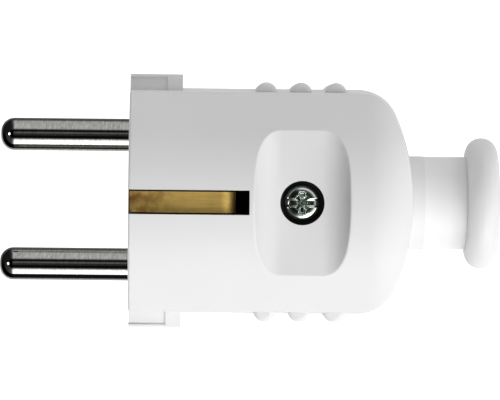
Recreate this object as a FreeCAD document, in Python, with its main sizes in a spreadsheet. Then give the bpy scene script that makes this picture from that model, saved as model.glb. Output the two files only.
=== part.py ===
import FreeCAD, Part
import math
import os
import Sketcher

# Type F mains plug, rewireable, in millimetres.
# The origin is the centre of the engagement face, midway between the pins.
# Pins point to -X, the cord leaves to +X, Z is up through the side contacts.

os.makedirs("parts", exist_ok=True)
doc = FreeCAD.newDocument("type_f_plug")
sheet = doc.addObject("Spreadsheet::Sheet", "Sizes")

SIZES = {
    # interface
    "pin_spacing": 19.0,
    "pin_dia": 4.8,
    "pin_length": 19.0,
    "pin_tip_round": 2.0,
    "pin_neck_dia": 4.2,
    # housing, outside
    "half_width": 16.5,
    "half_height": 17.4,
    "body_length": 41.7,
    "rear_round": 31.8,
    "corner_round": 6.0,
    "wall_draft": 4.0,
    "crown_round": 18.5,
    "crown_flank": 10.2,
    "crown_run": 34.7,
    "crown_fall": 9.0,
    "edge_round": 0.35,
    # grip ribs on both sides
    "rib_first": 19.7,
    "rib_pitch": 5.05,
    "rib_round": 1.62,
    "rib_proud": 0.85,
    "rib_short": 8.8,
    # keying tabs beside the face
    "tab_proud": 1.9,
    "tab_length": 7.6,
    "tab_low": 2.8,
    "tab_top": 6.2,
    "tab_slope": 0.42,
    "tab_rim": 0.4,
    "tab_pocket": 5.4,
    "tab_depth": 0.3,
    # side contact slot
    "slot_width": 3.5,
    "slot_end": 17.3,
    "slot_pass": 13.9,
    # finger recess
    "recess_mid": 24.85,
    "recess_flat": 6.1,
    "recess_depth": 3.2,
    "recess_round": 3.8,
    "recess_edge": 0.3,
    # housing, inside
    "face_wall": 3.0,
    "side_wall": 2.2,
    "crown_wall": 5.6,
    "cavity_end": 34.0,
    "dowel_dia": 2.2,
    "dowel_rise": 2.0,
    "dowel_x": 36.1,
    "dowel_y": 11.2,
    "fit_gap": 0.1,
    # housing screw and nut
    "screw_x": 24.9,
    "screw_dia": 3.0,
    "screw_head_dia": 5.1,
    "screw_head_rise": 1.7,
    "screw_slot": 0.85,
    "screw_sink": 2.4,
    "screw_well": 6.35,
    "pillar_dia": 7.3,
    "nut_flats": 5.5,
    "nut_rise": 2.4,
    # cord outlet
    "neck_dia": 13.7,
    "collar_end": 43.0,
    "outlet_dia": 10.8,
    "bore_dia": 8.2,
    "sleeve_start": 34.4,
    "flange_dia": 14.6,
    "flange_start": 36.1,
    "flange_rise": 1.8,
    "bead_dia": 19.2,
    "bead_start": 49.2,
    "bead_end": 53.8,
    "bead_round": 2.25,
    # pins inside
    "pin_bare": 1.5,
    "collar_dia": 7.0,
    "stem_dia": 4.4,
    "carrier_start": 3.1,
    "carrier_depth": 6.6,
    "carrier_top": 2.8,
    "block_start": 10.0,
    "block_length": 8.2,
    "block_size": 6.6,
    "wire_bore": 2.8,
    "wire_reach": 6.4,
    "clamp_x": 14.2,
    "clamp_dia": 3.0,
    "clamp_head": 4.5,
    "clamp_head_rise": 1.9,
    "clamp_lift": 0.3,
    "clamp_reach": 1.0,
    # earth strap
    "strap_width": 3.0,
    "strap_thick": 0.8,
    "strap_sink": 1.2,
    "strap_nose": 0.2,
    "strap_dip": 0.9,
    "strap_lead": 4.8,
    "strap_web": 15.4,
    "strap_bend": 2.2,
    "tag_level": -3.0,
    "tag_start": 9.9,
    "tag_width": 6.0,
    "earth_x": 12.2,
    "plate_size": 4.6,
    "plate_thick": 0.9,
    "foot_end": 19.2,
    "foot_width": 7.0,
    # cord clamp
    "grip_x": 31.0,
    "grip_y": 9.0,
    "grip_width": 4.6,
    "grip_thick": 2.4,
    "grip_level": 1.6,
    "grip_arch": 4.3,
    "grip_screw": 2.9,
    "grip_head": 5.2,
    "grip_head_rise": 1.8,
    "post_dia": 6.0,
}

for row, (name, number) in enumerate(SIZES.items(), start=1):
    sheet.set(f"A{row}", name)
    sheet.set(f"B{row}", str(number))
    sheet.setAlias(f"B{row}", name)
doc.recompute()


def named(text):
    """Put the sheet's name before each size in an expression."""
    words = []
    word = ""
    for mark in text + " ":
        if mark.isalnum() or mark == "_":
            word += mark
            continue
        words.append(f"Sizes.{word}" if word in SIZES else word)
        words.append(mark)
        word = ""
    return "".join(words).strip()


def value(text):
    return float(sheet.evalExpression(named(str(text))))


def bind(item, prop, text):
    item.setExpression(prop, named(str(text)))


def plane_of(body, role):
    return next(part for part in body.Origin.OriginFeatures if part.Role == role)


def sketch_on(body, plane, name, lift="0"):
    """An empty sketch on a plane of the body, moved along the plane's normal."""
    sketch = body.newObject("Sketcher::SketchObject", name)
    sketch.AttachmentSupport = [(plane_of(body, plane), "")]
    sketch.MapMode = "FlatFace"
    bind(sketch, "AttachmentOffset.Base.z", lift)
    return sketch


def pin_point(sketch, edge, end, across, along):
    for kind, text in (("DistanceX", across), ("DistanceY", along)):
        rule = sketch.addConstraint(Sketcher.Constraint(kind, -1, 1, edge, end, value(text)))
        sketch.setExpression(f"Constraints[{rule}]", named(str(text)))


def add_outline(sketch, corners):
    """A closed outline. A third item bends the edge that follows, positive to the left."""
    spots = [FreeCAD.Vector(value(c[0]), value(c[1]), 0) for c in corners]
    ends = []
    for i, corner in enumerate(corners):
        a = spots[i]
        b = spots[(i + 1) % len(spots)]
        if len(corner) == 2:
            edge = sketch.addGeometry(Part.LineSegment(a, b), False)
            ends.append((edge, 1, 2))
            continue
        bend = value(corner[2])
        radius = abs(bend)
        chord = b - a
        left = FreeCAD.Vector(-chord.y, chord.x, 0).normalize()
        reach = math.sqrt(max(radius ** 2 - chord.Length ** 2 / 4, 0))
        centre = (a + b) * 0.5 + left * math.copysign(reach, bend)
        first, last = (a, b) if bend > 0 else (b, a)
        start = math.atan2(first.y - centre.y, first.x - centre.x)
        stop = math.atan2(last.y - centre.y, last.x - centre.x)
        ring = Part.Circle(centre, FreeCAD.Vector(0, 0, 1), radius)
        edge = sketch.addGeometry(Part.ArcOfCircle(ring, start, stop), False)
        ends.append((edge, 1, 2) if bend > 0 else (edge, 2, 1))
        rule = sketch.addConstraint(Sketcher.Constraint("Radius", edge, radius))
        sketch.setExpression(f"Constraints[{rule}]", named(f"abs({corner[2]})"))
    for i, (edge, start, stop) in enumerate(ends):
        follower, begin, _ = ends[(i + 1) % len(ends)]
        sketch.addConstraint(Sketcher.Constraint("Coincident", edge, stop, follower, begin))
        pin_point(sketch, edge, start, corners[i][0], corners[i][1])
    return sketch


def outline(body, plane, name, corners, lift="0"):
    return add_outline(sketch_on(body, plane, name, lift), corners)


def box_corners(left, right, low, high):
    return [(left, low), (right, low), (right, high), (left, high)]


def circles(body, plane, name, centres, dia, lift="0"):
    sketch = sketch_on(body, plane, name, lift)
    for across, along in centres:
        middle = FreeCAD.Vector(value(across), value(along), 0)
        ring = Part.Circle(middle, FreeCAD.Vector(0, 0, 1), value(dia) / 2)
        edge = sketch.addGeometry(ring, False)
        pin_point(sketch, edge, 3, across, along)
        rule = sketch.addConstraint(Sketcher.Constraint("Diameter", edge, value(dia)))
        sketch.setExpression(f"Constraints[{rule}]", named(str(dia)))
    return sketch


body_volumes = {}


def settle(body, feature):
    """Recompute, and stop where a feature failed or changed nothing."""
    body.Tip = feature
    doc.recompute()
    if "Invalid" in feature.State or "Error" in feature.State or feature.Shape.isNull():
        raise ValueError(f"{body.Label}: {feature.Name} failed")
    volume = feature.Shape.Volume
    if abs(volume - body_volumes.get(body.Label, 0.0)) < 1e-6:
        raise ValueError(f"{body.Label}: {feature.Name} changes nothing")
    body_volumes[body.Label] = volume
    return feature


def extrude(body, kind, sketch, length, along=1, taper=None):
    """Pad or pocket along the sketch's normal (1), against it (-1) or both ways (0)."""
    before = body.Tip
    feature = body.newObject(f"PartDesign::{kind}", sketch.Name + kind)
    body.Tip = before
    feature.Profile = sketch
    bind(feature, "Length", length)
    feature.Midplane = along == 0
    feature.Reversed = (along < 0) == (kind == "Pad") and along != 0
    if taper:
        bind(feature, "TaperAngle", taper)
    return settle(body, feature)


def pad(body, sketch, length, along=1, taper=None):
    return extrude(body, "Pad", sketch, length, along, taper)


def pocket(body, sketch, length, along=1):
    return extrude(body, "Pocket", sketch, length, along)


def revolve(body, sketch, axis, angle=360.0, reverse=False):
    before = body.Tip
    feature = body.newObject("PartDesign::Revolution", sketch.Name + "Turn")
    body.Tip = before
    feature.Profile = sketch
    feature.ReferenceAxis = (plane_of(body, axis), [""])
    feature.Angle = angle
    feature.Reversed = reverse
    return settle(body, feature)


def fillet(body, chosen, radius, name):
    """Round the edges for which chosen(edge) holds."""
    base = body.Tip
    names = [f"Edge{i}" for i, edge in enumerate(base.Shape.Edges, start=1) if chosen(edge)]
    feature = body.newObject("PartDesign::Fillet", name)
    body.Tip = base
    feature.Base = (base, names)
    bind(feature, "Radius", radius)
    return settle(body, feature)


def new_body(label, places=("0", "0", "0")):
    body = doc.addObject("PartDesign::Body", label)
    body.Label = label
    for axis, text in zip("xyz", places):
        bind(body, f"Placement.Base.{axis}", text)
    return body


# Points of the housing that several features share
REAR_CENTRE = "(body_length - rear_round)"
CORNER_RUN = "sqrt((rear_round - corner_round) ^ 2 - (half_width - corner_round) ^ 2)"
CORNER_X = f"({REAR_CENTRE} + {CORNER_RUN})"
REAR_SHARE = "(rear_round / (rear_round - corner_round))"
REAR_X = f"({REAR_CENTRE} + {CORNER_RUN} * {REAR_SHARE})"
REAR_Y = f"((half_width - corner_round) * {REAR_SHARE})"
CROWN_DEEP = "sqrt(crown_round ^ 2 - crown_flank ^ 2)"
CROWN_SLOPE = f"(crown_flank / {CROWN_DEEP})"
FLANK_Z = f"(half_height - crown_round + {CROWN_DEEP})"
CAVITY_TOP = "(half_height - crown_wall)"
RIB_RISE = "(half_height - rib_short)"
STRAP_LEVEL = "(half_height - strap_sink)"
RECESS_FLOOR = "(half_height - recess_depth)"
RECESS_RUN = "sqrt(2 * recess_round * recess_depth - recess_depth ^ 2)"
SCREW_SEAT = f"({RECESS_FLOOR} - screw_sink)"
NUT_BASE = f"({RECESS_FLOOR} - fit_gap)"
SLOT_FLOOR = f"({STRAP_LEVEL} - strap_dip - strap_thick - 2 * fit_gap)"
CAVITY_Y = "(half_width - side_wall)"
SKIN = f"(side_wall * sqrt(1 + {CROWN_SLOPE} ^ 2))"
CAVITY_SHOULDER = f"({FLANK_Z} - ({CAVITY_Y} - crown_flank) * {CROWN_SLOPE} - {SKIN})"
CAVITY_FLAT = f"({CAVITY_Y} - ({CAVITY_TOP} - {CAVITY_SHOULDER}) / {CROWN_SLOPE})"
PIN_Y = "(pin_spacing / 2)"


def plan_corners():
    """Housing seen from above: parallel sides, round corners and a round rear end."""
    return [
        ("-face_wall", "-half_width"),
        (CORNER_X, "-half_width", "corner_round"),
        (REAR_X, f"-{REAR_Y}", "rear_round"),
        (REAR_X, REAR_Y, "corner_round"),
        (CORNER_X, "half_width"),
        ("-face_wall", "half_width"),
    ]


def crown_cut(body, side):
    """Cut away what lies above the crown: its profile is carried across the housing."""
    reach = "(half_width + side_wall)"
    edge_z = f"({FLANK_Z} - ({reach} - crown_flank) * {CROWN_SLOPE})"
    path = sketch_on(body, "YZ_Plane", f"crown_path_{side_name(side)}")
    spots = [
        (f"-{reach}", signed(side, edge_z)),
        ("-crown_flank", signed(side, FLANK_Z)),
        ("crown_flank", signed(side, FLANK_Z)),
        (reach, signed(side, edge_z)),
    ]
    a, b, c, d = (FreeCAD.Vector(value(y), value(z), 0) for y, z in spots)
    top = FreeCAD.Vector(0, side * value("half_height"), 0)
    path.addGeometry(Part.LineSegment(a, b), False)
    path.addGeometry(Part.Arc(b, top, c), False)
    path.addGeometry(Part.LineSegment(c, d), False)
    start, stop = (2, 1) if side > 0 else (1, 2)
    path.addConstraint(Sketcher.Constraint("Coincident", 0, 2, 1, start))
    path.addConstraint(Sketcher.Constraint("Coincident", 1, stop, 2, 1))
    pin_point(path, 0, 1, *spots[0])
    pin_point(path, 0, 2, *spots[1])
    pin_point(path, 2, 1, *spots[2])
    pin_point(path, 2, 2, *spots[3])
    rule = path.addConstraint(Sketcher.Constraint("Radius", 1, value("crown_round")))
    path.setExpression(f"Constraints[{rule}]", named("crown_round"))
    fall_end = "(crown_run + crown_fall * 0.9)"
    fall_z = f"({edge_z} - crown_fall * (1 - sqrt(1 - 0.81)))"
    clear_z = f"({edge_z} + 2 * half_height)"
    profile = outline(body, "XZ_Plane", f"crown_profile_{side_name(side)}", [
        ("-2 * face_wall", signed(side, edge_z)),
        ("crown_run", signed(side, edge_z), signed(-side, "crown_fall")),
        (fall_end, signed(side, fall_z)),
        (fall_end, signed(side, clear_z)),
        ("-2 * face_wall", signed(side, clear_z)),
    ], lift=reach)
    before = body.Tip
    feature = body.newObject("PartDesign::SubtractivePipe", f"crown_{side_name(side)}")
    body.Tip = before
    feature.Profile = profile
    feature.Spine = (path, ["Edge1", "Edge2", "Edge3"])
    feature.Mode = "Fixed"
    return settle(body, feature)


def side_name(side):
    return "upper" if side > 0 else "lower"


def signed(side, text):
    return text if side > 0 else f"-({text})"


def on_rim(edge):
    """Edges where the crown meets the side walls and the rear wall."""
    if min(abs(v.Z) for v in edge.Vertexes) < 1:
        return False
    spot = edge.valueAt((edge.FirstParameter + edge.LastParameter) / 2)
    if spot.x < value("edge_round"):
        return False
    near = value("half_height * tan(wall_draft)") + 0.2
    if spot.x < value(CORNER_X):
        return abs(spot.y) > value("half_width") - near
    meeting = value(REAR_Y) / (value(REAR_X) - value(REAR_CENTRE))
    if abs(spot.y) > abs(spot.x - value(REAR_CENTRE)) * meeting:
        reach = math.hypot(spot.x - value(CORNER_X), abs(spot.y) - value("half_width - corner_round"))
        return reach > value("corner_round") - near
    return math.hypot(spot.x - value(REAR_CENTRE), spot.y) > value("rear_round") - near


def on_face(edge):
    """Edges round the engagement face, apart from those on the parting plane."""
    if any(abs(v.X) > 1e-4 for v in edge.Vertexes):
        return False
    return max(abs(v.Z) for v in edge.Vertexes) > 1


def shell_form(label, side):
    """Outer form of one housing half, from the parting plane outwards."""
    name = side_name(side)
    body = new_body(label)
    plan = outline(body, "XY_Plane", f"plan_{name}", plan_corners())
    pad(body, plan, "half_height + side_wall", side, "-wall_draft")
    crown_cut(body, side)
    front = outline(body, "YZ_Plane", f"front_trim_{name}",
                    box_corners("-2 * half_width", "2 * half_width", "-2 * half_height", "2 * half_height"))
    pocket(body, front, "2 * face_wall", -1)
    fillet(body, lambda edge: on_face(edge) or on_rim(edge), "edge_round", f"outer_edges_{name}")
    return body


def shell(label, side):
    """One half of the housing with everything that is moulded into it."""
    name = side_name(side)
    body = shell_form(label, side)

    ribs = [(f"(rib_first + {i} * rib_pitch)", f"{sign}(half_width + rib_proud - rib_round)")
            for i in range(3) for sign in ("", "-")]
    pad(body, circles(body, "XY_Plane", f"ribs_{name}", ribs, "2 * rib_round"), RIB_RISE, side)
    rib_level = value(RIB_RISE)

    def on_rib_top(edge):
        level = all(abs(abs(v.Z) - rib_level) < 1e-3 for v in edge.Vertexes)
        return level and abs(edge.CenterOfMass.y) > value("half_width")

    fillet(body, on_rib_top, "rib_round * 0.5", f"rib_tops_{name}")

    def tab_height(place, lift="0"):
        return signed(side, f"(tab_top - ({place} - half_width) * tab_slope + ({lift}))")

    tab_inner = "(half_width - side_wall / 2)"
    tab_outer = "(half_width + tab_proud)"
    hollow_inner = "(half_width - tan(wall_draft) * (tab_top + 2 * tab_depth))"
    hollow_outer = "(half_width + tab_proud - tab_rim)"
    for sign, hand in (("", "left"), ("-", "right")):
        tab = outline(body, "YZ_Plane", f"tab_{hand}_{name}", [
            (sign + tab_inner, signed(side, "tab_low")),
            (sign + tab_outer, signed(side, "tab_low")),
            (sign + tab_outer, tab_height(tab_outer)),
            (sign + tab_inner, tab_height(tab_inner)),
        ])
        pad(body, tab, "tab_length", 1)
        hollow = outline(body, "YZ_Plane", f"tab_hollow_{hand}_{name}", [
            (sign + hollow_inner, tab_height(hollow_inner, "-tab_depth")),
            (sign + hollow_outer, tab_height(hollow_outer, "-tab_depth")),
            (sign + hollow_outer, tab_height(hollow_outer, "fit_gap")),
            (sign + hollow_inner, tab_height(hollow_inner, "fit_gap")),
        ], lift="-fit_gap")
        pocket(body, hollow, "tab_pocket + fit_gap", 1)

    inside = outline(body, "YZ_Plane", f"cavity_{name}", [
        (f"-{CAVITY_Y}", signed(side, "-face_wall")),
        (CAVITY_Y, signed(side, "-face_wall")),
        (CAVITY_Y, signed(side, CAVITY_SHOULDER)),
        (CAVITY_FLAT, signed(side, CAVITY_TOP)),
        (f"-{CAVITY_FLAT}", signed(side, CAVITY_TOP)),
        (f"-{CAVITY_Y}", signed(side, CAVITY_SHOULDER)),
    ], lift="face_wall")
    pocket(body, inside, "cavity_end - face_wall", 1)

    pillar = circles(body, "XY_Plane", f"pillar_{name}", [("screw_x", "0")], "pillar_dia")
    pad(body, pillar, f"{CAVITY_TOP} + side_wall / 4", side)
    collar = outline(body, "XY_Plane", f"collar_{name}",
                     box_corners("cavity_end + side_wall", "collar_end",
                                 "outlet_dia / 2 - side_wall / 2", "neck_dia / 2"))
    revolve(body, collar, "X_Axis", 180.0, side < 0)

    recess_left = f"(recess_mid - recess_flat / 2 - {RECESS_RUN})"
    recess_right = f"(recess_mid + recess_flat / 2 + {RECESS_RUN})"
    bend = signed(side, "recess_round")
    recess = outline(body, "XZ_Plane", f"recess_{name}", [
        (recess_left, signed(side, "half_height"), bend),
        ("(recess_mid - recess_flat / 2)", signed(side, RECESS_FLOOR)),
        ("(recess_mid + recess_flat / 2)", signed(side, RECESS_FLOOR), bend),
        (recess_right, signed(side, "half_height")),
        (recess_right, signed(side, "half_height + side_wall")),
        (recess_left, signed(side, "half_height + side_wall")),
    ])
    pocket(body, recess, "3 * half_width", 0)
    ends = (value(recess_left), value(recess_right))

    def on_recess_edge(edge):
        spot = edge.CenterOfMass
        along = all(abs(v.Y - w.Y) > 1 for v, w in zip(edge.Vertexes, edge.Vertexes[1:]))
        return along and abs(spot.z) > value(FLANK_Z) - 3 and min(abs(spot.x - x) for x in ends) < 1

    fillet(body, on_recess_edge, "recess_edge", f"recess_edge_{name}")

    slot = outline(body, "XY_Plane", f"slot_{name}",
                   box_corners("-side_wall", "slot_end", "-slot_width / 2", "slot_width / 2"),
                   lift=signed(side, SLOT_FLOOR))
    pocket(body, slot, "half_height", side)
    strap_pass = outline(body, "XY_Plane", f"strap_pass_{name}",
                         box_corners("slot_pass", "slot_end", "-slot_width / 2", "slot_width / 2"),
                         lift=signed(side, f"({CAVITY_TOP} - side_wall)"))
    pocket(body, strap_pass, "half_height", side)

    pins = [(PIN_Y, "0"), (f"-{PIN_Y}", "0")]
    pin_holes = circles(body, "YZ_Plane", f"pin_holes_{name}", pins, "pin_dia + 2 * fit_gap")
    pocket(body, pin_holes, "2 * face_wall", 0)
    seats = circles(body, "YZ_Plane", f"collar_seats_{name}", pins, "collar_dia + 2 * fit_gap",
                    lift="(pin_bare - fit_gap)")
    pocket(body, seats, "face_wall", 1)

    outlet = circles(body, "YZ_Plane", f"outlet_{name}", [("0", "0")], "outlet_dia",
                     lift="(cavity_end - side_wall)")
    pocket(body, outlet, "collar_end", 1)
    groove = circles(body, "YZ_Plane", f"flange_groove_{name}", [("0", "0")], "flange_dia + 2 * fit_gap",
                     lift="(flange_start - fit_gap)")
    pocket(body, groove, "flange_rise + 2 * fit_gap", 1)

    dowels = [("dowel_x", "dowel_y"), ("dowel_x", "-dowel_y")]
    if side > 0:
        well = circles(body, "XY_Plane", "screw_well", [("screw_x", "0")], "screw_well", lift=SCREW_SEAT)
        pocket(body, well, "half_height", 1)
        pad(body, circles(body, "XY_Plane", "dowels", dowels, "dowel_dia"), "dowel_rise", -1)
    else:
        across = "(nut_flats / 2 + fit_gap)"
        corner = f"({across} / cos(30))"
        hexagon = [(f"(screw_x + {corner} * cos({60 * i}))", f"({corner} * sin({60 * i}))")
                   for i in range(6)]
        nut_well = outline(body, "XY_Plane", "nut_well", hexagon, lift=f"-({NUT_BASE} - nut_rise)")
        pocket(body, nut_well, "half_height", -1)
        holes = circles(body, "XY_Plane", "dowel_holes", dowels, "dowel_dia + 2 * fit_gap")
        pocket(body, holes, "dowel_rise + 2 * fit_gap", -1)
        grips = [("grip_x", "grip_y"), ("grip_x", "-grip_y")]
        posts = circles(body, "XY_Plane", "clamp_posts", grips, "post_dia", lift="grip_level")
        pad(body, posts, f"{CAVITY_TOP} + grip_level + side_wall / 4", -1)
        saddle_y = "(grip_y - post_dia / 4)"
        lip = "sqrt(grip_arch ^ 2 - grip_level ^ 2)"
        saddle = outline(body, "YZ_Plane", "cord_saddle", [
            (f"-{saddle_y}", f"-({CAVITY_TOP} + side_wall / 4)"),
            (saddle_y, f"-({CAVITY_TOP} + side_wall / 4)"),
            (saddle_y, "-grip_level"),
            (lip, "-grip_level", "-grip_arch"),
            (f"-{lip}", "-grip_level"),
            (f"-{saddle_y}", "-grip_level"),
        ], lift="(grip_x - grip_width / 4)")
        pad(body, saddle, "grip_width / 2", 1)
        screw_holes = circles(body, "XY_Plane", "clamp_holes", grips, "grip_screw + 2 * fit_gap",
                              lift="(grip_level + fit_gap)")
        pocket(body, screw_holes, CAVITY_TOP, -1)

    bolt_hole = circles(body, "XY_Plane", f"bolt_hole_{name}", [("screw_x", "0")],
                        "screw_dia + 4 * fit_gap")
    pocket(body, bolt_hole, "half_height", side)
    return body


def pin(label, place_y):
    """Round contact pin: rounded tip, collar in the face wall, screw terminal behind."""
    body = new_body(label, ("0", place_y, "0"))
    nose = "(pin_dia / 2 - pin_tip_round)"
    profile = outline(body, "XY_Plane", f"{label}_profile", [
        ("-pin_length", "0"),
        ("block_start", "0"),
        ("block_start", "stem_dia / 2"),
        ("face_wall", "stem_dia / 2"),
        ("face_wall", "collar_dia / 2"),
        ("pin_bare", "collar_dia / 2"),
        ("pin_bare", "pin_neck_dia / 2"),
        ("0", "pin_neck_dia / 2"),
        ("0", "pin_dia / 2"),
        ("(pin_tip_round - pin_length)", "pin_dia / 2", "pin_tip_round"),
        ("-pin_length", nose),
    ])
    revolve(body, profile, "X_Axis")
    half = "block_size / 2"
    block = outline(body, "YZ_Plane", f"{label}_block",
                    box_corners(f"-{half}", half, f"-{half}", half), lift="block_start")
    pad(body, block, "block_length", 1)
    bore = circles(body, "YZ_Plane", f"{label}_bore", [("0", "0")], "wire_bore",
                   lift="(block_start + block_length - wire_reach)")
    pocket(body, bore, "2 * wire_reach", 1)
    tapped = circles(body, "XY_Plane", f"{label}_tapped", [("clamp_x", "0")], "clamp_dia + fit_gap")
    pocket(body, tapped, "block_size", 1)
    return body


def headed_screw(label, places, head, rise, shank, length, slots):
    """Domed screw standing on its seat: the shank points down, the slots are cut in the dome."""
    body = new_body(label, places)
    edge = f"({rise} * 0.45)"
    sag = f"({rise} * 0.55)"
    dome = f"((({head}) ^ 2 / 4 + {sag} ^ 2) / (2 * {sag}))"
    chamfer = f"(({shank}) / 8)"
    profile = outline(body, "XZ_Plane", f"{label}_profile", [
        ("0", f"-({length})"),
        (f"({shank}) / 2 - {chamfer}", f"-({length})"),
        (f"({shank}) / 2", f"{chamfer} - ({length})"),
        (f"({shank}) / 2", "0"),
        (f"({head}) / 2", "0"),
        (f"({head}) / 2", edge, dome),
        ("0", rise),
    ])
    revolve(body, profile, "Z_Axis")
    for i, (corners, depth) in enumerate(slots):
        cut = outline(body, "XY_Plane", f"{label}_slot_{i}", corners, lift=f"({rise} - ({depth}))")
        pocket(body, cut, rise, 1)
    return body


def pin_carrier():
    """Moulded insert that stands in the lower half and holds the pins in open slots."""
    body = new_body("pin_carrier")
    side = f"({CAVITY_Y} - fit_gap)"
    flat = f"({CAVITY_FLAT} - fit_gap)"
    base = f"-({CAVITY_TOP} - fit_gap)"
    section = outline(body, "YZ_Plane", "carrier_section", [
        (f"-{flat}", base),
        (flat, base),
        (side, f"-({CAVITY_SHOULDER} - fit_gap)"),
        (side, "carrier_top"),
        (f"-{side}", "carrier_top"),
        (f"-{side}", f"-({CAVITY_SHOULDER} - fit_gap)"),
    ], lift="carrier_start")
    pad(body, section, "carrier_depth", 1)
    foot = outline(body, "XY_Plane", "carrier_foot",
                   box_corners("carrier_start + carrier_depth / 2", "foot_end",
                               "-foot_width / 2", "foot_width / 2"),
                   lift="(tag_level - strap_thick)")
    pad(body, foot, "3 * strap_thick", -1)
    window = outline(body, "XY_Plane", "strap_window",
                     box_corners("strap_web - strap_thick - fit_gap", "strap_web + fit_gap",
                                 "-(strap_width / 2 + fit_gap)", "strap_width / 2 + fit_gap"))
    pocket(body, window, f"2 * {CAVITY_TOP}", 0)
    clear = circles(body, "XY_Plane", "earth_screw_clear", [("earth_x", "0")], "clamp_dia + 4 * fit_gap")
    pocket(body, clear, f"2 * {CAVITY_TOP}", 0)
    for sign, hand in (("", "left"), ("-", "right")):
        middle = f"{sign}{PIN_Y}"
        seat = circles(body, "YZ_Plane", f"seat_{hand}", [(middle, "0")], "stem_dia + 2 * fit_gap",
                       lift="(carrier_start - fit_gap)")
        pocket(body, seat, "carrier_depth + 2 * fit_gap", 1)
        half = "(stem_dia / 2 + fit_gap)"
        throat = outline(body, "YZ_Plane", f"throat_{hand}",
                         box_corners(f"({middle} - {half})", f"({middle} + {half})",
                                     "0", "2 * carrier_top"),
                         lift="(carrier_start - fit_gap)")
        pocket(body, throat, "carrier_depth + 2 * fit_gap", 1)
    return body


def earth_strap():
    """Brass strip bent to a U: its arms lie in both side slots, a tag takes the earth wire."""
    body = new_body("earth_strap")
    inner = "(strap_bend - strap_thick)"
    bend_x = "(strap_web - strap_bend)"
    bend_z = f"({STRAP_LEVEL} - strap_bend)"
    lead_end = "(strap_nose + strap_lead)"
    lead_round = "((strap_lead ^ 2 + strap_dip ^ 2) / (2 * strap_dip))"
    back_round = f"({lead_round} - strap_thick)"
    back_x = f"(strap_nose + strap_lead * strap_thick / {lead_round})"
    back_z = f"({STRAP_LEVEL} - {lead_round} + {back_round} * ({lead_round} - strap_dip) / {lead_round})"
    upper = [
        (bend_x, STRAP_LEVEL),
        (lead_end, STRAP_LEVEL, lead_round),
        ("strap_nose", f"({STRAP_LEVEL} - strap_dip)"),
        (back_x, back_z, f"-{back_round}"),
        (lead_end, f"({STRAP_LEVEL} - strap_thick)"),
        (bend_x, f"({STRAP_LEVEL} - strap_thick)", f"-{inner}"),
        ("(strap_web - strap_thick)", bend_z),
    ]
    lower = [
        ("(strap_web - strap_thick)", f"-{bend_z}", f"-{inner}"),
        (bend_x, f"-({STRAP_LEVEL} - strap_thick)"),
        (lead_end, f"-({STRAP_LEVEL} - strap_thick)", f"-{back_round}"),
        (back_x, f"-{back_z}"),
        ("strap_nose", f"-({STRAP_LEVEL} - strap_dip)", lead_round),
        (lead_end, f"-{STRAP_LEVEL}"),
        (bend_x, f"-{STRAP_LEVEL}", "strap_bend"),
        ("strap_web", f"-{bend_z}"),
        ("strap_web", bend_z, "strap_bend"),
    ]
    strip = outline(body, "XZ_Plane", "strap_side", upper + lower)
    pad(body, strip, "strap_width", 0)
    tag = outline(body, "XY_Plane", "earth_tag",
                  box_corners("tag_start", "strap_web - strap_thick / 2",
                              "-tag_width / 2", "tag_width / 2"),
                  lift="tag_level")
    pad(body, tag, "strap_thick", -1)
    hole = circles(body, "XY_Plane", "tag_hole", [("earth_x", "0")], "clamp_dia + fit_gap",
                   lift="tag_level")
    pocket(body, hole, "2 * strap_thick", -1)
    return body


def earth_clamp_plate():
    body = new_body("earth_clamp_plate", ("earth_x", "0", "tag_level"))
    half = "plate_size / 2"
    plate = outline(body, "XY_Plane", "plate_outline", box_corners(f"-{half}", half, f"-{half}", half))
    pad(body, plate, "plate_thick", 1)
    hole = circles(body, "XY_Plane", "plate_hole", [("0", "0")], "clamp_dia + 2 * fit_gap")
    pocket(body, hole, "2 * plate_thick", 1)
    return body


def cord_clamp_bar():
    """Saddle bar that bridges the cord and is screwed onto two posts."""
    body = new_body("cord_clamp_bar", ("grip_x", "0", "0"))
    reach = "(grip_y + post_dia / 2)"
    top = "(grip_level + grip_thick)"
    lip = "sqrt(grip_arch ^ 2 - grip_level ^ 2)"
    back = "(grip_arch + grip_thick)"
    hump = f"sqrt({back} ^ 2 - {top} ^ 2)"
    section = outline(body, "YZ_Plane", "bar_section", [
        (f"-{reach}", "grip_level"),
        (f"-{lip}", "grip_level", "-grip_arch"),
        (lip, "grip_level"),
        (reach, "grip_level"),
        (reach, top),
        (hump, top, back),
        (f"-{hump}", top),
        (f"-{reach}", top),
    ])
    pad(body, section, "grip_width", 0)
    holes = circles(body, "XY_Plane", "bar_holes", [("0", "grip_y"), ("0", "-grip_y")],
                    "grip_screw + 2 * fit_gap")
    pocket(body, holes, f"{top} * 2", 1)
    return body


def cord_sleeve():
    """Cord outlet: a flange held by the housing, a round neck and a bead at the end."""
    body = new_body("cord_sleeve")
    bore = "bore_dia / 2"
    waist = "(outlet_dia / 2 - fit_gap)"
    neck = "(neck_dia / 2 - fit_gap / 2)"
    bead = "bead_dia / 2"
    mouth = "(bead_round / 3)"
    profile = outline(body, "XY_Plane", "sleeve_profile", [
        ("sleeve_start", bore),
        (f"(bead_end - {mouth})", bore, f"-{mouth}"),
        ("bead_end", f"({bore} + {mouth})"),
        ("bead_end", f"({bead} - bead_round)", "bead_round"),
        ("(bead_end - bead_round)", bead),
        ("(bead_start + bead_round)", bead, "bead_round"),
        ("bead_start", f"({bead} - bead_round)"),
        ("bead_start", neck),
        ("collar_end", neck),
        ("collar_end", waist),
        ("(flange_start + flange_rise)", waist),
        ("(flange_start + flange_rise)", "flange_dia / 2"),
        ("flange_start", "flange_dia / 2"),
        ("flange_start", waist),
        ("sleeve_start", waist),
    ])
    revolve(body, profile, "X_Axis")
    return body


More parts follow.
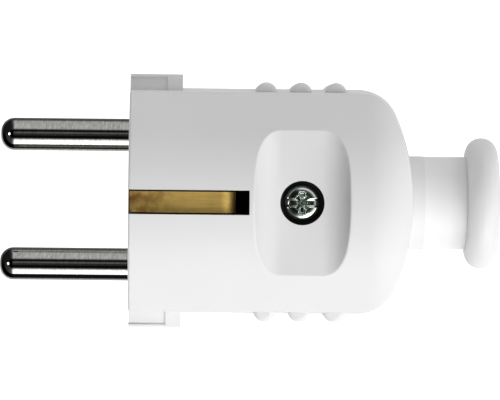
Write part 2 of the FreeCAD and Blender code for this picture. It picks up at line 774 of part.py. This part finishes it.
def housing_nut():
    body = new_body("housing_nut", ("screw_x", "0", f"-{NUT_BASE}"))
    corner = "(nut_flats / 2 / cos(30))"
    hexagon = [(f"({corner} * cos({60 * i}))", f"({corner} * sin({60 * i}))") for i in range(6)]
    pad(body, outline(body, "XY_Plane", "nut_outline", hexagon), "nut_rise", 1)
    hole = circles(body, "XY_Plane", "nut_hole", [("0", "0")], "screw_dia + fit_gap")
    pocket(body, hole, "2 * nut_rise", 1)
    return body


CLAMP_SEAT = "(block_size / 2 + clamp_lift)"
PLATE_TOP = "(tag_level + plate_thick)"
GRIP_SEAT = "(grip_level + grip_thick)"


def wing(reach_x, reach_y):
    """Outline of a straight slot through the middle of a screw head."""
    return box_corners(f"-({reach_x})", reach_x, f"-({reach_y})", reach_y)


def diamond(reach):
    return [(reach, "0"), ("0", reach), (f"-({reach})", "0"), ("0", f"-({reach})")]


PLAIN_SLOT = [(wing("clamp_head", "screw_slot / 2"), "clamp_head_rise * 0.55")]
CROSS_SLOT = [
    (wing("screw_head_dia", "screw_slot / 2"), "screw_head_rise * 0.5"),
    (wing("screw_slot / 2", "screw_head_dia * 0.32"), "screw_head_rise * 0.6"),
    (diamond("screw_head_dia * 0.19"), "screw_head_rise * 0.85"),
]
GRIP_SLOT = [
    (wing("grip_head * 0.32", "screw_slot / 2"), "grip_head_rise * 0.7"),
    (wing("screw_slot / 2", "grip_head * 0.32"), "grip_head_rise * 0.7"),
]

pieces = [
    shell("upper_shell", 1),
    shell("lower_shell", -1),
    pin_carrier(),
    pin("line_pin", PIN_Y),
    pin("neutral_pin", f"-{PIN_Y}"),
    headed_screw("line_terminal_screw", ("clamp_x", PIN_Y, CLAMP_SEAT), "clamp_head", "clamp_head_rise",
                 "clamp_dia", f"{CLAMP_SEAT} - clamp_reach", PLAIN_SLOT),
    headed_screw("neutral_terminal_screw", ("clamp_x", f"-{PIN_Y}", CLAMP_SEAT), "clamp_head",
                 "clamp_head_rise", "clamp_dia", f"{CLAMP_SEAT} - clamp_reach", PLAIN_SLOT),
    earth_strap(),
    earth_clamp_plate(),
    headed_screw("earth_terminal_screw", ("earth_x", "0", PLATE_TOP), "clamp_head", "clamp_head_rise",
                 "clamp_dia", "2.5 * strap_thick + 2 * plate_thick", PLAIN_SLOT),
    cord_clamp_bar(),
    headed_screw("cord_clamp_screw_left", ("grip_x", "grip_y", GRIP_SEAT), "grip_head", "grip_head_rise",
                 "grip_screw", "grip_thick + post_dia", GRIP_SLOT),
    headed_screw("cord_clamp_screw_right", ("grip_x", "-grip_y", GRIP_SEAT), "grip_head", "grip_head_rise",
                 "grip_screw", "grip_thick + post_dia", GRIP_SLOT),
    cord_sleeve(),
    headed_screw("housing_screw", ("screw_x", "0", SCREW_SEAT), "screw_head_dia", "screw_head_rise",
                 "screw_dia", f"{SCREW_SEAT} + {NUT_BASE}", CROSS_SLOT),
    housing_nut(),
]

doc.recompute()
for item in doc.Objects:
    if "Invalid" in item.State or "Error" in item.State:
        raise ValueError(f"{item.Label} failed: {item.State}")
for piece in pieces:
    if piece.Shape.isNull() or not piece.Shape.isValid() or len(piece.Shape.Solids) != 1:
        raise ValueError(f"{piece.Label} is not one sound solid")
    piece.Shape.exportStep(f"parts/{piece.Label}.step")
    print(f"{piece.Label:24s} {piece.Shape.Volume:9.1f} mm3")
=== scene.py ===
import math

import bpy
import numpy as np
from mathutils import Euler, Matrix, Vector


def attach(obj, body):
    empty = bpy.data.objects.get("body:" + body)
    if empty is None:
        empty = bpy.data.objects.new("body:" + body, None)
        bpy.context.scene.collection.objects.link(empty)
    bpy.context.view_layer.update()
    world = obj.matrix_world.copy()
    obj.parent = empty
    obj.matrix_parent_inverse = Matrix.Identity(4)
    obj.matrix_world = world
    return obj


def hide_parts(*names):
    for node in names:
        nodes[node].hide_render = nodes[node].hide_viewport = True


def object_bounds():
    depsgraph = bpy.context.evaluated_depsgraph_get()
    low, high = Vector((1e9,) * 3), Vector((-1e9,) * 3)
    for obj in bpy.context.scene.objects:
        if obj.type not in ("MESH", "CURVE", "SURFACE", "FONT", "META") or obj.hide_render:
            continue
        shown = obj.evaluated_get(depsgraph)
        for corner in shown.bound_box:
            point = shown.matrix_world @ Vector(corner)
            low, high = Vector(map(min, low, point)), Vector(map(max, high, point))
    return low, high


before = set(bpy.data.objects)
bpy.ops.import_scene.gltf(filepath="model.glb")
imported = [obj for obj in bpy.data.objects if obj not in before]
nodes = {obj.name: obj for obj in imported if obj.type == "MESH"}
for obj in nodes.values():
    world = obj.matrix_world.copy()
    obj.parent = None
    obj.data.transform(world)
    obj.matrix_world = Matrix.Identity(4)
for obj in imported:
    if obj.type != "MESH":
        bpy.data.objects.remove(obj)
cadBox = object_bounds()
mm = 0.001
print("frame loaded:", len(nodes), "nodes")


# Helpers for materials

def newMaterial(name):
    material = bpy.data.materials.new(name)
    material.use_nodes = True
    tree = material.node_tree
    return material, tree, tree.nodes["Principled BSDF"]


def grey(level):
    return (level, level, level, 1.0)


def objectCoords(tree, stretch):  # Object coordinates, each axis times its stretch
    coords = tree.nodes.new("ShaderNodeTexCoord")
    mapping = tree.nodes.new("ShaderNodeMapping")
    mapping.inputs["Scale"].default_value = stretch
    tree.links.new(coords.outputs["Object"], mapping.inputs["Vector"])
    return mapping.outputs["Vector"]


def noise(tree, vector, scale, detail=3.0):  # scale is per metre
    texture = tree.nodes.new("ShaderNodeTexNoise")
    texture.inputs["Scale"].default_value = scale
    texture.inputs["Detail"].default_value = detail
    tree.links.new(vector, texture.inputs["Vector"])
    return texture.outputs["Fac"]


def ramp(tree, value, stops):  # stops are (position, grey or colour)
    node = tree.nodes.new("ShaderNodeValToRGB")
    elements = node.color_ramp.elements
    while len(elements) < len(stops):
        elements.new(0.5)
    for element, (place, colour) in zip(elements, stops):
        element.position = place
        element.color = (*colour, 1.0) if isinstance(colour, tuple) else grey(colour)
    tree.links.new(value, node.inputs["Fac"])
    return node.outputs["Color"]


def shifted(tree, value, factor, offset):  # value times factor plus offset, kept within 0 and 1
    node = tree.nodes.new("ShaderNodeMath")
    node.operation = "MULTIPLY_ADD"
    node.use_clamp = True
    node.inputs[1].default_value = factor
    node.inputs[2].default_value = offset
    tree.links.new(value, node.inputs[0])
    return node.outputs["Value"]


def give(tree, socket, item):  # a link from another node, or a constant
    if isinstance(item, bpy.types.NodeSocket):
        tree.links.new(item, socket)
    else:
        socket.default_value = item


def mixed(tree, kind, share, first, second):
    node = tree.nodes.new("ShaderNodeMix")
    node.data_type = "RGBA"
    node.blend_type = kind
    give(tree, node.inputs["Factor"], share)
    give(tree, node.inputs[6], first)  # numbers pick the colour sockets, whose names other types share
    give(tree, node.inputs[7], second)
    return node.outputs[2]


def axis(tree, vector, name):
    split = tree.nodes.new("ShaderNodeSeparateXYZ")
    tree.links.new(vector, split.inputs["Vector"])
    return split.outputs[name]


def calculated(tree, operation, *given):
    node = tree.nodes.new("ShaderNodeMath")
    node.operation = operation
    for socket, item in zip(node.inputs, given):
        give(tree, socket, item)
    return node.outputs["Value"]


def between(tree, value, low, high):  # 1 from low to high, 0 elsewhere
    return calculated(tree, "COMPARE", value, (high + low) / 2, (high - low) / 2)


def bump(tree, shader, height, strength, distance):
    node = tree.nodes.new("ShaderNodeBump")
    node.inputs["Strength"].default_value = strength
    node.inputs["Distance"].default_value = distance
    tree.links.new(height, node.inputs["Height"])
    tree.links.new(node.outputs["Normal"], shader.inputs["Normal"])


def dress(material, *names):  # CAD nodes take the material in every slot they have
    for name in names:
        for slot in nodes[name].material_slots:
            slot.material = material


# Moulded plastics

housing = {
    "white": 0.66,
    "shade": 0.64,
    "cloud": 60.0,  # slow change between white and shade, per metre
    "cloudSpan": (0.3, 0.7),  # noise levels of full shade and full white
    "roughness": 0.5,
    "grain": 2600.0,  # fine spark-eroded texture of the mould, per metre
    "grainRelief": 0.35,
    "grainDepth": 0.004 * mm,
    "slot": {  # painted shade on the slot's walls beside the earth strip
        "halfWidth": 1.78 * mm,
        "end": 17.33 * mm,
        "floor": 12.0 * mm,
        "top": 16.15 * mm,
        "tone": 0.02,
    },
}


def wellShadeMask(tree, coords, well):  # 1 within the well's radius and between its seat and its mouth
    flat = tree.nodes.new("ShaderNodeMapping")
    flat.inputs["Location"].default_value = (-well["x"], 0.0, 0.0)
    flat.inputs["Scale"].default_value = (1.0, 1.0, 0.0)
    tree.links.new(coords, flat.inputs["Vector"])
    reach = tree.nodes.new("ShaderNodeVectorMath")
    reach.operation = "LENGTH"
    tree.links.new(flat.outputs["Vector"], reach.inputs[0])
    within = calculated(tree, "LESS_THAN", reach.outputs["Value"], well["radius"])
    level = between(tree, axis(tree, coords, "Z"), well["seat"], well["mouth"])
    return calculated(tree, "MULTIPLY", within, level)


def slotShadeMask(tree, coords, slot):  # 1 between the slot's walls, in either half of the housing
    across = calculated(tree, "ABSOLUTE", axis(tree, coords, "Y"))
    within = calculated(tree, "LESS_THAN", across, slot["halfWidth"])
    ahead = calculated(tree, "LESS_THAN", axis(tree, coords, "X"), slot["end"])
    height = calculated(tree, "ABSOLUTE", axis(tree, coords, "Z"))
    level = between(tree, height, slot["floor"], slot["top"])
    return calculated(tree, "MULTIPLY", calculated(tree, "MULTIPLY", within, ahead), level)


def alongBead(tree, coords, bead):  # rises from 0 to 1 along the axis and stays at 1 on the bead
    run = bead["to"] - bead["from"]
    return shifted(tree, axis(tree, coords, "X"), 1 / run, -bead["from"] / run)


places = {"well": wellShadeMask, "slot": slotShadeMask, "beadShade": alongBead}


def mouldedPlastic(name, values):
    material, tree, shader = newMaterial(name)
    coords = objectCoords(tree, (1, 1, 1))
    low, high = values["cloudSpan"]
    cloud = noise(tree, coords, values["cloud"])
    tone = ramp(tree, cloud, [(low, values["shade"]), (high, values["white"])])
    # painted shade is mixed into the tone where a place is given: in the screw's well, in the earth slot
    # and on the bead
    for key, inside in places.items():
        place = values.get(key)
        if place:
            tone = mixed(tree, "MIX", inside(tree, coords, place), tone, grey(place["tone"]))
    tree.links.new(tone, shader.inputs["Base Color"])
    shader.inputs["Roughness"].default_value = values["roughness"]
    bump(tree, shader, noise(tree, coords, values["grain"]), values["grainRelief"], values["grainDepth"])
    return material


dress(mouldedPlastic("housingWhite", housing), "lower_shell")

upperHousing = dict(housing, well={
    "x": 24.9 * mm,
    "radius": 3.3 * mm,
    "seat": 11.0 * mm,
    "mouth": 14.12 * mm,
    "tone": 0.012,  # painted shade that blackens the well
})
dress(mouldedPlastic("housingWhiteUpper", upperHousing), "upper_shell")

sleeve = dict(housing, white=0.72, shade=0.70, roughness=0.45, grainDepth=0.006 * mm, slot=None, beadShade={
    "from": 46.5 * mm,
    "to": 48.0 * mm,
    "tone": 0.66,  # painted shade: the bead is a little greyer than the neck
})
dress(mouldedPlastic("sleeveWhite", sleeve), "cord_sleeve")

# painted shade: the carrier and the clamp bar are nearly black so that openings into the housing look deep
# and dark
carrier = dict(housing, white=0.03, shade=0.02, roughness=0.55, slot=None)
dress(mouldedPlastic("carrierPaintedShade", carrier), "pin_carrier", "cord_clamp_bar")
print("plastics done")


# Metals

metal = {
    "detail": 4.0,
    "span": (0.25, 0.75),  # noise levels of the deep and the bright tone
    "reliefDepth": 0.01 * mm,
}


def tarnishAndShade(tree, values):  # tarnish blotches, and painted shade where they gather at the face and thin out with the distance from it
    coords = objectCoords(tree, (1, 1, 1))
    blotches = ramp(tree, noise(tree, coords, values["blotches"], values["detail"]), values["cover"])
    near = shifted(tree, axis(tree, coords, "X"), -values["fade"] / values["reach"], 1.0)
    share = calculated(tree, "MAXIMUM", near, values["least"])
    return calculated(tree, "MULTIPLY", blotches, share)


def brushedMetal(name, values):
    material, tree, shader = newMaterial(name)
    low, high = values["span"]
    lines = noise(tree, objectCoords(tree, values["stretch"]), values["fineness"], values["detail"])
    tone = ramp(tree, lines, [(low, values["deep"]), (high, values["bright"])])
    if "tarnishAndShade" in values:
        spots = values["tarnishAndShade"]
        tone = mixed(tree, "MIX", tarnishAndShade(tree, spots), tone, spots["colour"])
    tree.links.new(tone, shader.inputs["Base Color"])
    shader.inputs["Metallic"].default_value = 1.0
    shader.inputs["Roughness"].default_value = values["roughness"]
    bump(tree, shader, lines, values["relief"], values["reliefDepth"])
    return material


pinMetal = {
    **metal,
    "deep": (0.30, 0.295, 0.28),
    "bright": (0.53, 0.525, 0.505),
    "stretch": (4.0, 1.3, 1.3),  # turned rings across the pin
    "fineness": 900.0,
    "roughness": 0.05,
    "relief": 0.35,
}
dress(brushedMetal("nickelPin", pinMetal), "line_pin", "neutral_pin")

stripMetal = {
    **metal,
    "deep": (0.66, 0.46, 0.125),
    "bright": (0.80, 0.575, 0.185),
    "stretch": (0.08, 1.0, 1.0),  # rolled along the strip
    "fineness": 3000.0,
    "roughness": 0.58,
    "relief": 0.25,
    # real tarnish blotches, also painted shade in how they darken the strip's front end
    "tarnishAndShade": {
        "colour": (0.26, 0.12, 0.035, 1.0),
        "blotches": 700.0,
        "detail": 8.0,
        "cover": [(0.38, 0.3), (0.62, 1.0)],  # noise level and how far it covers the brass
        "fade": 0.9,  # lost over the reach
        "reach": 9 * mm,
        "least": 0.14,
    },
}
dress(brushedMetal("rolledBrass", stripMetal), "earth_strap")

screwMetal = {
    **metal,
    "deep": (0.62, 0.70, 0.63),
    "bright": (0.88, 0.95, 0.88),
    "stretch": (1.0, 1.0, 1.0),
    "fineness": 900.0,
    "roughness": 0.14,
    "relief": 0.5,
}
zincPlate = brushedMetal("zincPlate", screwMetal)
dress(zincPlate, "housing_nut", "line_terminal_screw", "neutral_terminal_screw", "earth_terminal_screw",
      "earth_clamp_plate", "cord_clamp_screw_left", "cord_clamp_screw_right")
print("metals done")


# Housing screw with a slot, a cross and a socket pressed into its head

housingScrew = {
    "x": 24.9,  # all in millimetres; the seat is the underside of the head
    "seat": 11.8,
    "headRadius": 2.62,
    "headRise": 1.7,
    "slopeAt": (0.0, 0.3, 0.55, 0.72, 0.88, 0.95, 1.0),  # share of the head's radius
    "slope": (0.0, 5.0, 10.0, 17.0, 26.0, 52.0, 84.0),  # degrees
    "slotWidth": 1.0,
    "slotDepth": 0.62,
    "crossWidth": 0.75,
    "crossReach": 1.5,
    "crossDepth": 0.8,
    "socketRadius": 1.2,
    "socketFlat": 0.2,  # share of the socket's radius that is its flat floor
    "socketDepth": 1.3,
    "wall": 0.3,  # width of the pressed walls
    "shankRadius": 1.5,
    "shankLength": 25.9,
    "chamfer": 0.375,
    "rings": 110,
    "segments": 180,
}


def band(distance, half, wall):  # 1 inside half, easing to 0 across the wall
    share = np.clip((half + wall / 2 - distance) / wall, 0.0, 1.0)
    return share * share * (3 - 2 * share)


# The head's top is a turned surface: its slope runs between the stations and its height is the running
# sum of the slope. The deepest of slot, cross and socket is taken off it.
def headSurface(values, turn):
    radii = np.linspace(0.0, values["headRadius"], values["rings"])
    slope = np.radians(np.interp(radii / values["headRadius"], values["slopeAt"], values["slope"]))
    steps = np.tan((slope[1:] + slope[:-1]) / 2) * np.diff(radii)
    top = values["headRise"] - np.concatenate([[0.0], np.cumsum(steps)])
    x = radii[:, None] * np.cos(turn)
    y = radii[:, None] * np.sin(turn)
    wall = values["wall"]
    slot = values["slotDepth"] * band(np.abs(y), values["slotWidth"] / 2, wall)
    across = band(np.abs(x), values["crossWidth"] / 2, wall)
    cross = values["crossDepth"] * across * band(np.abs(y), values["crossReach"], wall)
    cone = (1 - np.hypot(x, y) / values["socketRadius"]) / (1 - values["socketFlat"])
    socket = values["socketDepth"] * np.clip(cone, 0.0, 1.0)
    pressed = np.maximum(np.maximum(slot, cross), socket)
    return np.stack([x, y, top[:, None] - pressed], axis=-1)


# The head's side and the shank are rings below the head's surface, and a fan closes each end.
def makeScrew(values):
    turn = np.linspace(0.0, 2 * np.pi, values["segments"], endpoint=False)
    head = headSurface(values, turn)
    shank, end = values["shankRadius"], -values["shankLength"]
    below = [
        (values["headRadius"], 0.0),
        (shank, 0.0),
        (shank, end + values["chamfer"]),
        (shank - values["chamfer"], end),
    ]
    rings = np.array([(r * np.cos(turn), r * np.sin(turn), np.full_like(turn, h)) for r, h in below])
    grid = np.concatenate([head[1:], rings.transpose(0, 2, 1)])
    points = np.concatenate([grid.reshape(-1, 3), [head[0, 0], (0.0, 0.0, end)]])
    points = (points + (values["x"], 0.0, values["seat"])) * mm
    count, width = grid.shape[:2]
    index = np.arange(count * width).reshape(count, width)
    right = np.roll(index, -1, axis=1)
    quads = np.stack([index[:-1], index[1:], right[1:], right[:-1]], axis=-1).reshape(-1, 4)
    tip = np.full(width, count * width)
    topFan = np.stack([tip, index[0], right[0]], axis=-1)
    endFan = np.stack([tip + 1, right[-1], index[-1]], axis=-1)
    mesh = bpy.data.meshes.new("housingScrew")
    mesh.from_pydata(points.tolist(), [], quads.tolist() + topFan.tolist() + endFan.tolist())
    smooth = np.zeros(len(mesh.polygons), dtype=bool)  # smooth on the head's surface only
    smooth[:(len(head) - 2) * width] = True
    smooth[len(quads):len(quads) + width] = True
    mesh.polygons.foreach_set("use_smooth", smooth)
    mesh.materials.append(zincPlate)
    screw = bpy.data.objects.new("housingScrew", mesh)
    bpy.context.scene.collection.objects.link(screw)
    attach(screw, "root")
    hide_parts("housing_screw")


makeScrew(housingScrew)
print("housing screw done")


# Floor, light and camera

stage = {
    "floor": 0.35,
    "floorRoughness": 0.9,
    "floorGlow": 1.15,
    "floorSize": 6.0,
    "viewCentre": Vector((17.62 * mm, 0.15 * mm, 0.0)),
    "distance": 520 * mm,
    "lean": Euler([math.radians(turn) for turn in (-0.9, -0.9, 0.6)]),  # off a look straight down
    "pixelsPerMm": 6.805,  # at the height of the pins
    "pixelsWide": 500,
    "sensor": 36.0,  # millimetres
    "clip": (0.01, 20.0),
    "sky": 3.3,
    "keySpread": 2.6,  # how sharply the room's far side turns into its key side
    "lampDistance": 2.0,
}

# Direction, power and size of each lamp, and whether it shows in the metal
lamps = {
    "key": (Vector((0.45, -0.9, 0.95)), 6.4, 1.2, True),
    "overhead": (Vector((0.15, -0.25, 1.0)), 10.7, 1.2, False),
    "front": (Vector((-0.7, 0.0, 0.75)), 5.2, 0.55, True),
    "far": (Vector((0.1, 0.8, 0.7)), 3.0, 1.2, False),
}

# Brightness of the studio by height, from straight below (0) over the horizon (0.5) to the zenith (1).
# The pins' end of the room (0 in fromTheFront) is dark except from below; the cord's end is dimmed.
keySide = [(0.0, 0.3), (0.12, 0.24), (0.2, 0.16), (0.25, 0.02), (0.28, 0.004), (0.595, 0.004), (0.64, 1.0),
           (0.85, 1.0), (0.88, 0.5), (0.911, 0.2), (0.935, 0.02), (0.95, 0.002), (1.0, 0.002)]
farSide = [(0.0, 0.2), (0.10, 0.04), (0.28, 0.05), (0.37, 0.22), (0.5, 0.24), (0.84, 0.26), (0.885, 0.22),
           (0.91, 0.08), (0.935, 0.004), (0.97, 0.002), (0.985, 0.05), (0.996, 0.07), (1.0, 0.02)]
fromTheFront = [(0.0, 0.02), (0.3, 0.03), (0.38, 0.08), (0.47, 1.0), (0.6, 1.0), (0.85, 0.8), (1.0, 0.7)]
fromBelow = [(0.0, 1.0), (0.2, 1.0), (0.28, 0.0)]


def makeFloor(level):  # one square about the origin, at the object's lowest level
    side = stage["floorSize"] / 2
    corners = np.array([(-side, -side), (side, -side), (side, side), (-side, side)])
    points = np.column_stack([corners, np.full(4, level)])
    mesh = bpy.data.meshes.new("floor")
    mesh.from_pydata(points.tolist(), [], [(0, 1, 2, 3)])
    floor = bpy.data.objects.new("floor", mesh)
    bpy.context.scene.collection.objects.link(floor)
    floor.visible_glossy = False  # the metal mirrors the darker room instead
    material, tree, shader = newMaterial("paleFloor")
    shader.inputs["Base Color"].default_value = grey(stage["floor"])
    shader.inputs["Roughness"].default_value = stage["floorRoughness"]
    shader.inputs["Emission Color"].default_value = grey(1.0)
    shader.inputs["Emission Strength"].default_value = stage["floorGlow"]
    mesh.materials.append(material)


def makeStudio():
    world = bpy.data.worlds.new("softStudio")
    bpy.context.scene.world = world
    world.use_nodes = True
    tree = world.node_tree
    coords = tree.nodes.new("ShaderNodeTexCoord")
    towards = coords.outputs["Generated"]
    height = shifted(tree, axis(tree, towards, "Z"), 0.5, 0.5)  # a direction's -1 to 1 becomes 0 to 1
    keyShare = shifted(tree, axis(tree, towards, "Y"), -stage["keySpread"], 0.5)
    sides = mixed(tree, "MIX", keyShare, ramp(tree, height, farSide), ramp(tree, height, keySide))
    front = ramp(tree, shifted(tree, axis(tree, towards, "X"), 0.5, 0.5), fromTheFront)
    share = calculated(tree, "MAXIMUM", front, ramp(tree, height, fromBelow))
    tone = mixed(tree, "MULTIPLY", 1.0, sides, share)
    sky = tree.nodes["Background"]
    tree.links.new(tone, sky.inputs["Color"])
    sky.inputs["Strength"].default_value = stage["sky"]


def makeLamp(name, direction, power, size, glossy):
    light = bpy.data.lights.new(name, "AREA")
    light.shape = "DISK"
    light.size = size
    light.energy = power
    lamp = bpy.data.objects.new(name, light)
    towards = direction.normalized()
    lamp.location = stage["viewCentre"] + towards * stage["lampDistance"]
    lamp.rotation_euler = towards.to_track_quat("Z", "Y").to_euler()
    lamp.visible_glossy = glossy
    bpy.context.scene.collection.objects.link(lamp)


def makeCamera():
    lens = bpy.data.cameras.new("camera")
    camera = bpy.data.objects.new("camera", lens)
    bpy.context.scene.collection.objects.link(camera)
    camera.location = stage["viewCentre"] + stage["lean"].to_matrix() @ Vector((0, 0, stage["distance"]))
    camera.rotation_euler = stage["lean"]
    lens.sensor_width = stage["sensor"]
    lens.lens = stage["sensor"] * stage["distance"] / mm * stage["pixelsPerMm"] / stage["pixelsWide"]
    lens.clip_start, lens.clip_end = stage["clip"]
    bpy.context.scene.camera = camera


makeFloor(cadBox[0][2])
makeStudio()
for lampName, lampValues in lamps.items():
    makeLamp(lampName, *lampValues)
makeCamera()
bpy.context.scene.view_settings.view_transform = "Standard"
print("stage done")
